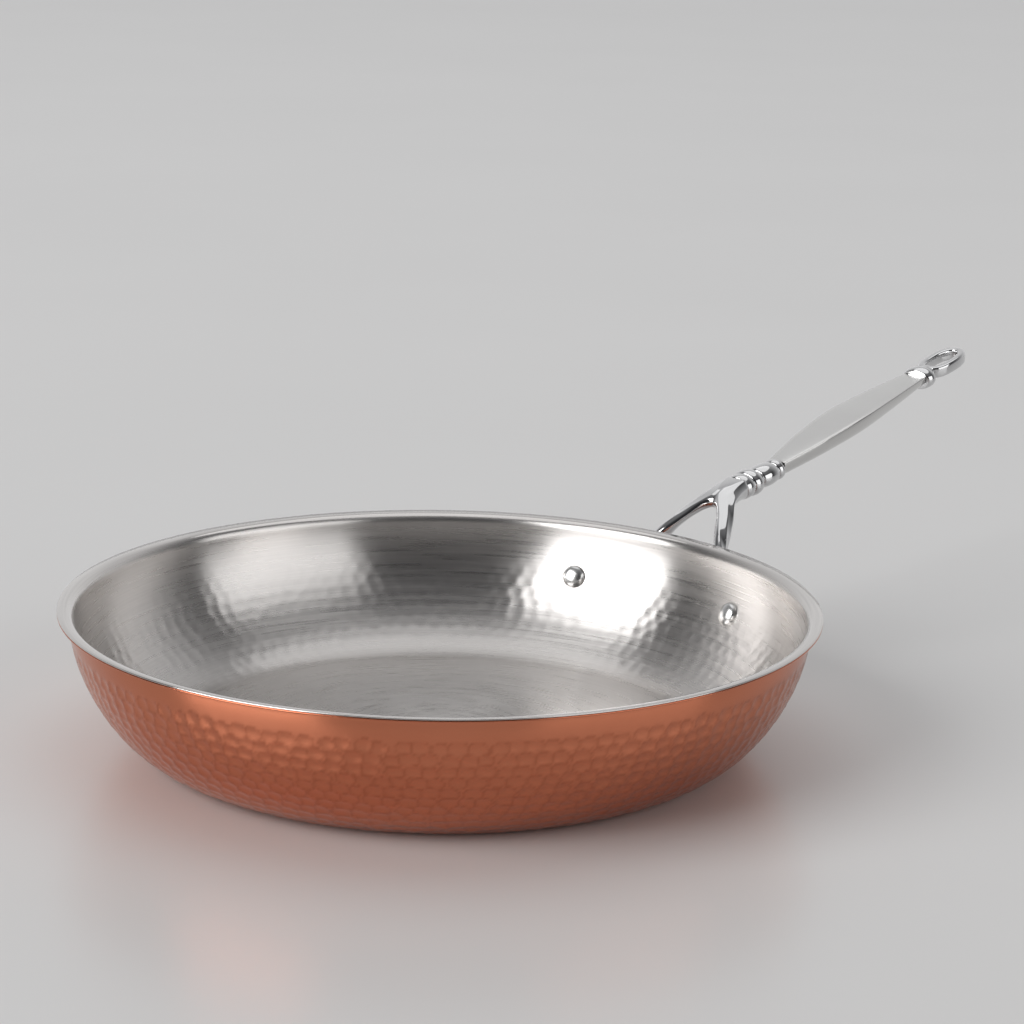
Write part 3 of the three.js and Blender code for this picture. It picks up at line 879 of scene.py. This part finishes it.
def leg_line():
    """The middle of one leg, from the neck over the lip and down the wall."""

    def on_foot(along, lift):
        at = wall_frame(RIVET_HEIGHT, 0.0).translation.x
        azimuth = RIVET_ANGLE + along * math.cos(FOOT_SLANT) / at
        height = RIVET_HEIGHT - along * math.sin(FOOT_SLANT)
        return wall_frame(height, azimuth) @ Vector((0.0, 0.0, lift))

    def beside_lip(clearance, spread, drop):
        reach = math.sqrt((LIP_RADIUS + clearance) ** 2 - spread**2)
        return Vector((reach, spread, PAN_HEIGHT - drop))

    root = on_neck(NECK_END) - NECK_UP * LEG_ROOT_DROP
    over_lip = [
        Vector((LIP_RADIUS + past, spread, PAN_HEIGHT + above))
        for past, spread, above in LEG_BENDS
    ]
    down_wall = [beside_lip(*drop) for drop in LEG_DROPS]
    return [
        Vector((root.x, LEG_ROOT_SPREAD, root.z)),
        *over_lip,
        *down_wall,
        on_foot(-FOOT_LENGTH, LEG_THICKNESS / 2),
        on_foot(0.0, FOOT_THICKNESS / 2),
        on_foot(FOOT_LENGTH, FOOT_THICKNESS / 4),
    ]


def fork():
    """The shoulder and one leg drawn as one bar, then mirrored."""
    line = leg_line()
    bar = Vector((LEG_WIDTH, LEG_THICKNESS, 0.0))
    foot = Vector((FOOT_WIDTH, FOOT_THICKNESS, 0.0))
    toe = Vector((TOE_WIDTH, FOOT_THICKNESS / 2, 0.0))
    sizes = [bar, bar, bar, bar, bar, (bar + foot) / 2, foot, toe]
    foot_out = wall_frame(RIVET_HEIGHT, RIVET_ANGLE).col[2].to_3d()
    rings = [
        [on_neck(NECK_END + back) + SIDEWAYS * a + NECK_UP * b for a, b in corners]
        for back, corners in SHOULDER
    ]
    for k in range(LEG_STEPS + 1):
        share = LEG_START + (1.0 - LEG_START) * k / LEG_STEPS
        near, far = max(share - LEG_NUDGE, 0.0), min(share + LEG_NUDGE, 1.0)
        along = (along_curve(line, far) - along_curve(line, near)).normalized()
        up = NECK_UP.lerp(foot_out, share)
        up = (up - along * up.dot(along)).normalized()
        across = along.cross(up)
        centre = along_curve(line, share)
        size = along_curve(sizes, share)
        width = size.x * LEG_FULL_WIDTH
        thickness = size.y * LEG_FULL_THICKNESS
        rings.append([
            centre + across * (a * width) + up * (b * thickness) for a, b in LEG_SECTION
        ])
    bm, rows = drawn_bar(rings)
    for corner, sharpness in LEG_RIDGES:
        keep_crisp(bm, rows, corner, sharpness)
    inside = [
        face for face in bm.faces if all(abs(vert.co.y) < MIDDLE_SLACK for vert in face.verts)
    ]
    bmesh.ops.delete(bm, geom=inside, context="FACES")
    everything = list(bm.verts) + list(bm.edges) + list(bm.faces)
    bmesh.ops.mirror(bm, geom=everything, axis="Y", merge_dist=MIRROR_WELD)
    return softened(closed_up(bm), levels=3)


def rivet(side):
    """A dome head in the pan, the shank through the wall and the formed tail on the foot."""

    def dome(radius, face, rise, steps=10):
        lip = math.copysign(RIVET_EDGE, rise)
        angles = [QUARTER * k / steps for k in range(steps + 1)]
        return [(radius, face)] + [
            (radius * math.cos(a), face + lip + (rise - lip) * math.sin(a)) for a in angles
        ]

    head_face = -WALL - RIVET_CLEARANCE
    tail_face = FOOT_THICKNESS + RIVET_CLEARANCE
    tail = dome(TAIL_RADIUS, tail_face, TAIL_RISE)[::-1]
    head = dome(HEAD_RADIUS, head_face, -HEAD_RISE)
    profile = tail + [(SHANK_RADIUS, tail_face), (SHANK_RADIUS, head_face)] + head
    return moved(turned(profile, RIVET_STEPS), wall_frame(RIVET_HEIGHT, side * RIVET_ANGLE))


def ferrule(start, width, crest, oval):
    shoulder = crest - BEAD_SHOULDER
    profile = [
        (0.0, start),
        (shoulder - BEAD_CHAMFER, start),
        *swelling(start, start + width, shoulder, crest, steps=18),
        (shoulder - BEAD_CHAMFER, start + width),
        (0.0, start + width),
    ]
    bm = turned(profile, BEAD_STEPS)
    bmesh.ops.scale(bm, vec=(oval, 1 / oval, 1.0), verts=bm.verts)
    return moved(bm, GRIP_TURNED)


def grip():
    """The grip's sections drawn along it, and which of its points lie on the flat."""
    forms = [
        GRIP_FRONT,
        GRIP_FRONT.lerp(GRIP_MIDDLE, GRIP_SWELL),
        GRIP_MIDDLE,
        GRIP_MIDDLE.lerp(GRIP_REAR, GRIP_TAPER),
        GRIP_REAR,
    ]
    rings = []
    for k in range(GRIP_STEPS + 1):
        width, height, top = along_curve(forms, k / GRIP_STEPS)
        x = GRIP_START + GRIP_LENGTH * k / GRIP_STEPS
        ring = []
        for j in range(BELLY_STEPS + 1):
            a = math.pi * j / BELLY_STEPS
            drop = height * abs(math.sin(a)) ** BELLY_FULLNESS
            ring.append(Vector((x, width / 2 * math.cos(a), top - drop)))
        for j in range(1, CROWN_STEPS):
            share = 2 * j / CROWN_STEPS - 1
            ring.append(Vector((x, width / 2 * share, top + GRIP_CROWN * (1 - share**2))))
        rings.append(ring)
    bm, rows = drawn_bar(rings)
    edges = [
        bm.edges.get((row[j], after[j]))
        for row, after in zip(rows, rows[1:])
        for j in (0, BELLY_STEPS)
    ]
    bmesh.ops.bevel(
        bm,
        geom=edges,
        offset=GRIP_EDGE,
        offset_type="OFFSET",
        affect="EDGES",
        segments=2,
        profile=0.5,
        material=-1,
        clamp_overlap=True,
    )
    closed_up(bm)
    bm.normal_update()
    flat = [1.0 if vert.normal.z > FLAT_FACING else 0.0 for vert in bm.verts]
    return moved(bm, GRIP_PLACE), ("flat", flat)


def hanging_loop():
    """The eye, drawn round as one rail, and the root that carries it."""
    near = LOOP_ROOT_LENGTH
    far = LOOP_LENGTH - RAIL_WIDTH / 2
    half_length = (far - near) / 2
    half_width = (LOOP_WIDTH - RAIL_WIDTH) / 2
    middle = (far + near) / 2
    rail = rounded_outline(RAIL_WIDTH, RAIL_HEIGHT, RAIL_SQUARENESS, RAIL_POINTS)
    rings = []
    for k in range(LOOP_STEPS):
        angle = TURN * k / LOOP_STEPS
        cosine, sine = math.cos(angle), math.sin(angle)
        fullness = LOOP_END_FULLNESS if cosine > 0 else LOOP_ROOT_FULLNESS
        lengthwise = math.copysign(abs(cosine) ** fullness, cosine)
        crosswise = math.copysign(abs(sine) ** fullness, sine)
        centre = Vector((middle + half_length * lengthwise, half_width * crosswise, 0.0))
        out = Vector((half_width * cosine, half_length * sine, 0.0)).normalized()
        rings.append([centre + out * a + Vector((0.0, 0.0, b)) for a, b in rail])
    eye, _ = drawn_bar(rings, closed=True)
    tilt = Matrix.Rotation(GRIP_TILT - LOOP_TILT, 4, "Y")
    tilt.translation = Vector((LOOP_START, 0.0, LOOP_LIFT))
    moved(eye, GRIP_PLACE @ tilt)
    profile = [
        (LOOP_ROOT_RADIUS * share, LOOP_START + along) for share, along in LOOP_ROOT_PROFILE
    ]
    root = turned(profile, LOOP_ROOT_STEPS)
    bmesh.ops.scale(root, vec=(REAR_OVAL, 1.0, 1.0), verts=root.verts)
    return gather(softened(eye, levels=1), moved(root, GRIP_TURNED))


# Pieces

copper = copper_finish()
brushed = lining_finish()
aluminium = dull_finish("aluminium", ALUMINIUM, roughness=0.4)
polished = polished_finish("polished_steel", POLISHED_STEEL, roughness=0.05)
rivet_steel = polished_finish("rivet_steel", RIVET_STEEL, roughness=0.22)
satin = grip_finish()
rod_steel = dull_finish("rod_steel", ROD_STEEL, roughness=0.3)

shell, shell_ridge_shade = copper_shell()
piece("hammered_shell", shell, copper, "copper_shell", shell_ridge_shade, crisp=60.0)
piece("core_sheet", aluminium_core(), aluminium, "aluminium_core")
piece("brushed_lining", steel_lining(), brushed, "steel_lining", crisp=50.0)
piece("wishbone", gather(neck(), fork()), polished, "handle_yoke", crisp=55.0)
piece("left_rivet", rivet(1), rivet_steel, "rivet_left")
piece("right_rivet", rivet(-1), rivet_steel, "rivet_right")
piece(
    "front_bead",
    ferrule(-FRONT_WIDTH / 2, FRONT_WIDTH, FRONT_RADIUS, FRONT_OVAL),
    polished,
    "front_ferrule",
)
handle, handle_flat = grip()
piece("arched_grip", handle, satin, "grip", handle_flat, crisp=50.0)
piece(
    "rear_bead",
    ferrule(REAR_START, REAR_WIDTH, REAR_RADIUS, REAR_OVAL),
    polished,
    "rear_ferrule",
)
piece("hanging_eye", hanging_loop(), polished, "hanging_loop")

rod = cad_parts["tie_rod"]
rod.data.materials.clear()
rod.data.materials.append(rod_steel)


# Studio

CAMERA_PLACE = Vector((-0.8418, -0.7678, 0.3779))
CAMERA_WAY = Vector((0.7324, 0.6367, -0.2417)).normalized()
LEVEL_RIGHT = Vector((0.6561, -0.7547, 0.0)).normalized()
AHEAD = Vector((CAMERA_WAY.x, CAMERA_WAY.y, 0.0)).normalized()
CAMERA_ROLL = math.radians(1.137)
LENS = 105.47
SENSOR = 36.0
FLOOR_SIZE = 16.0
AIM = Vector((0.0, 0.0, 0.03))
UPWARDS = Vector((0.0, 0.0, 1.0))

# Brightness of the room from the camera's side to the far side, and where it gives way overhead
ROOM_STOPS = [
    (0.0, (0.03, 0.03, 0.032)),
    (0.5, (0.06, 0.06, 0.062)),
    (0.72, (0.52, 0.52, 0.525)),
    (1.0, (0.8, 0.8, 0.805)),
]
OVERHEAD_STOPS = [(0.6, (0.0, 0.0, 0.0)), (0.98, (1.0, 1.0, 1.0))]


def studio_floor():
    bm = bmesh.new()
    bmesh.ops.create_grid(bm, x_segments=8, y_segments=8, size=FLOOR_SIZE)
    shape = bpy.data.meshes.new("floor")
    bm.to_mesh(shape)
    bm.free()
    floor = bpy.data.objects.new("floor", shape)
    bpy.context.scene.collection.objects.link(floor)
    material, start = finish("pale_floor")
    cloud = grain(start, object_place(start), scale=3.0, detail=3.0)
    shader = start.node(
        "ShaderNodeBsdfPrincipled",
        None,
        {
            "Base Color": cloud.blend(FLOOR_DARK, FLOOR_LIGHT),
            "Roughness": 0.28,
            "Specular IOR Level": 0.5,
        },
    )
    start.node("ShaderNodeOutputMaterial", None, {"Surface": shader})
    floor.data.materials.append(material)


def studio_world():
    world = bpy.data.worlds.new("studio")
    bpy.context.scene.world = world
    world.use_nodes = True
    world.node_tree.nodes.clear()
    start = Shade(world.node_tree)
    way = start.node("ShaderNodeTexCoord", None, None, "Generated")
    ahead = start.node(
        "ShaderNodeVectorMath",
        {"operation": "DOT_PRODUCT"},
        {0: way, 1: CAMERA_WAY},
        "Value",
    )
    up = start.node("ShaderNodeSeparateXYZ", None, {0: way}, 2)
    room = start.node("ShaderNodeValToRGB", {"stops": ROOM_STOPS}, {0: ahead * 0.5 + 0.5})
    overhead = start.node("ShaderNodeValToRGB", {"stops": OVERHEAD_STOPS}, {0: up})
    soft = overhead.blend(room, OVERHEAD)
    seen = start.node("ShaderNodeLightPath", None, None, "Is Camera Ray")
    tone = seen.blend(soft, BACKDROP)
    glow = start.node("ShaderNodeBackground", None, {"Color": tone, "Strength": 1.0})
    start.node("ShaderNodeOutputWorld", None, {"Surface": glow})


def at_bearing(bearing):
    """A level direction from the pan: 0 is towards the camera, and positive is to its right."""
    return LEVEL_RIGHT * math.sin(bearing) - AHEAD * math.cos(bearing)


def softbox(name, bearing, height, distance, width, tall, power):
    """A soft light that faces the pan."""
    lamp = bpy.data.lights.new(name, "AREA")
    lamp.shape = "RECTANGLE"
    lamp.size = width
    lamp.size_y = tall
    lamp.energy = power
    holder = bpy.data.objects.new(name, lamp)
    holder.location = at_bearing(bearing) * distance + UPWARDS * height
    aim = AIM - holder.location
    holder.rotation_mode = "QUATERNION"
    holder.rotation_quaternion = aim.to_track_quat("-Z", "Y")
    holder.visible_camera = False
    bpy.context.scene.collection.objects.link(holder)


def back_light(bearing, elevation, distance, breadth, power):
    """A broad even light from behind the pan."""
    way = at_bearing(bearing) * math.cos(elevation) + UPWARDS * math.sin(elevation)
    lamp = bpy.data.lights.new("back_light", "SUN")
    lamp.energy = power
    lamp.angle = breadth
    holder = bpy.data.objects.new("back_light", lamp)
    holder.location = way * distance
    holder.rotation_mode = "QUATERNION"
    holder.rotation_quaternion = (-way).to_track_quat("-Z", "Y")
    bpy.context.scene.collection.objects.link(holder)


def photo_camera():
    lens = bpy.data.cameras.new("camera")
    lens.lens = LENS
    lens.sensor_width = SENSOR
    lens.clip_start = 0.01
    lens.clip_end = 50.0
    level_up = LEVEL_RIGHT.cross(CAMERA_WAY)
    right = LEVEL_RIGHT * math.cos(CAMERA_ROLL) + level_up * math.sin(CAMERA_ROLL)
    up = right.cross(CAMERA_WAY)
    camera = bpy.data.objects.new("camera", lens)
    camera.matrix_world = basis(right, up, -CAMERA_WAY, CAMERA_PLACE)
    bpy.context.scene.collection.objects.link(camera)
    bpy.context.scene.camera = camera


studio_floor()
studio_world()
softbox(
    "left_softbox",
    bearing=math.radians(-58),
    height=3.75,
    distance=8.0,
    width=7.0,
    tall=7.0,
    power=700.0,
)
softbox(
    "right_softbox",
    bearing=math.radians(60),
    height=2.9,
    distance=8.0,
    width=8.7,
    tall=5.8,
    power=220.0,
)
back_light(
    bearing=math.radians(180),
    elevation=math.radians(73),
    distance=3.0,
    breadth=math.radians(56),
    power=0.52,
)
photo_camera()
bpy.context.scene.view_settings.view_transform = "Standard"
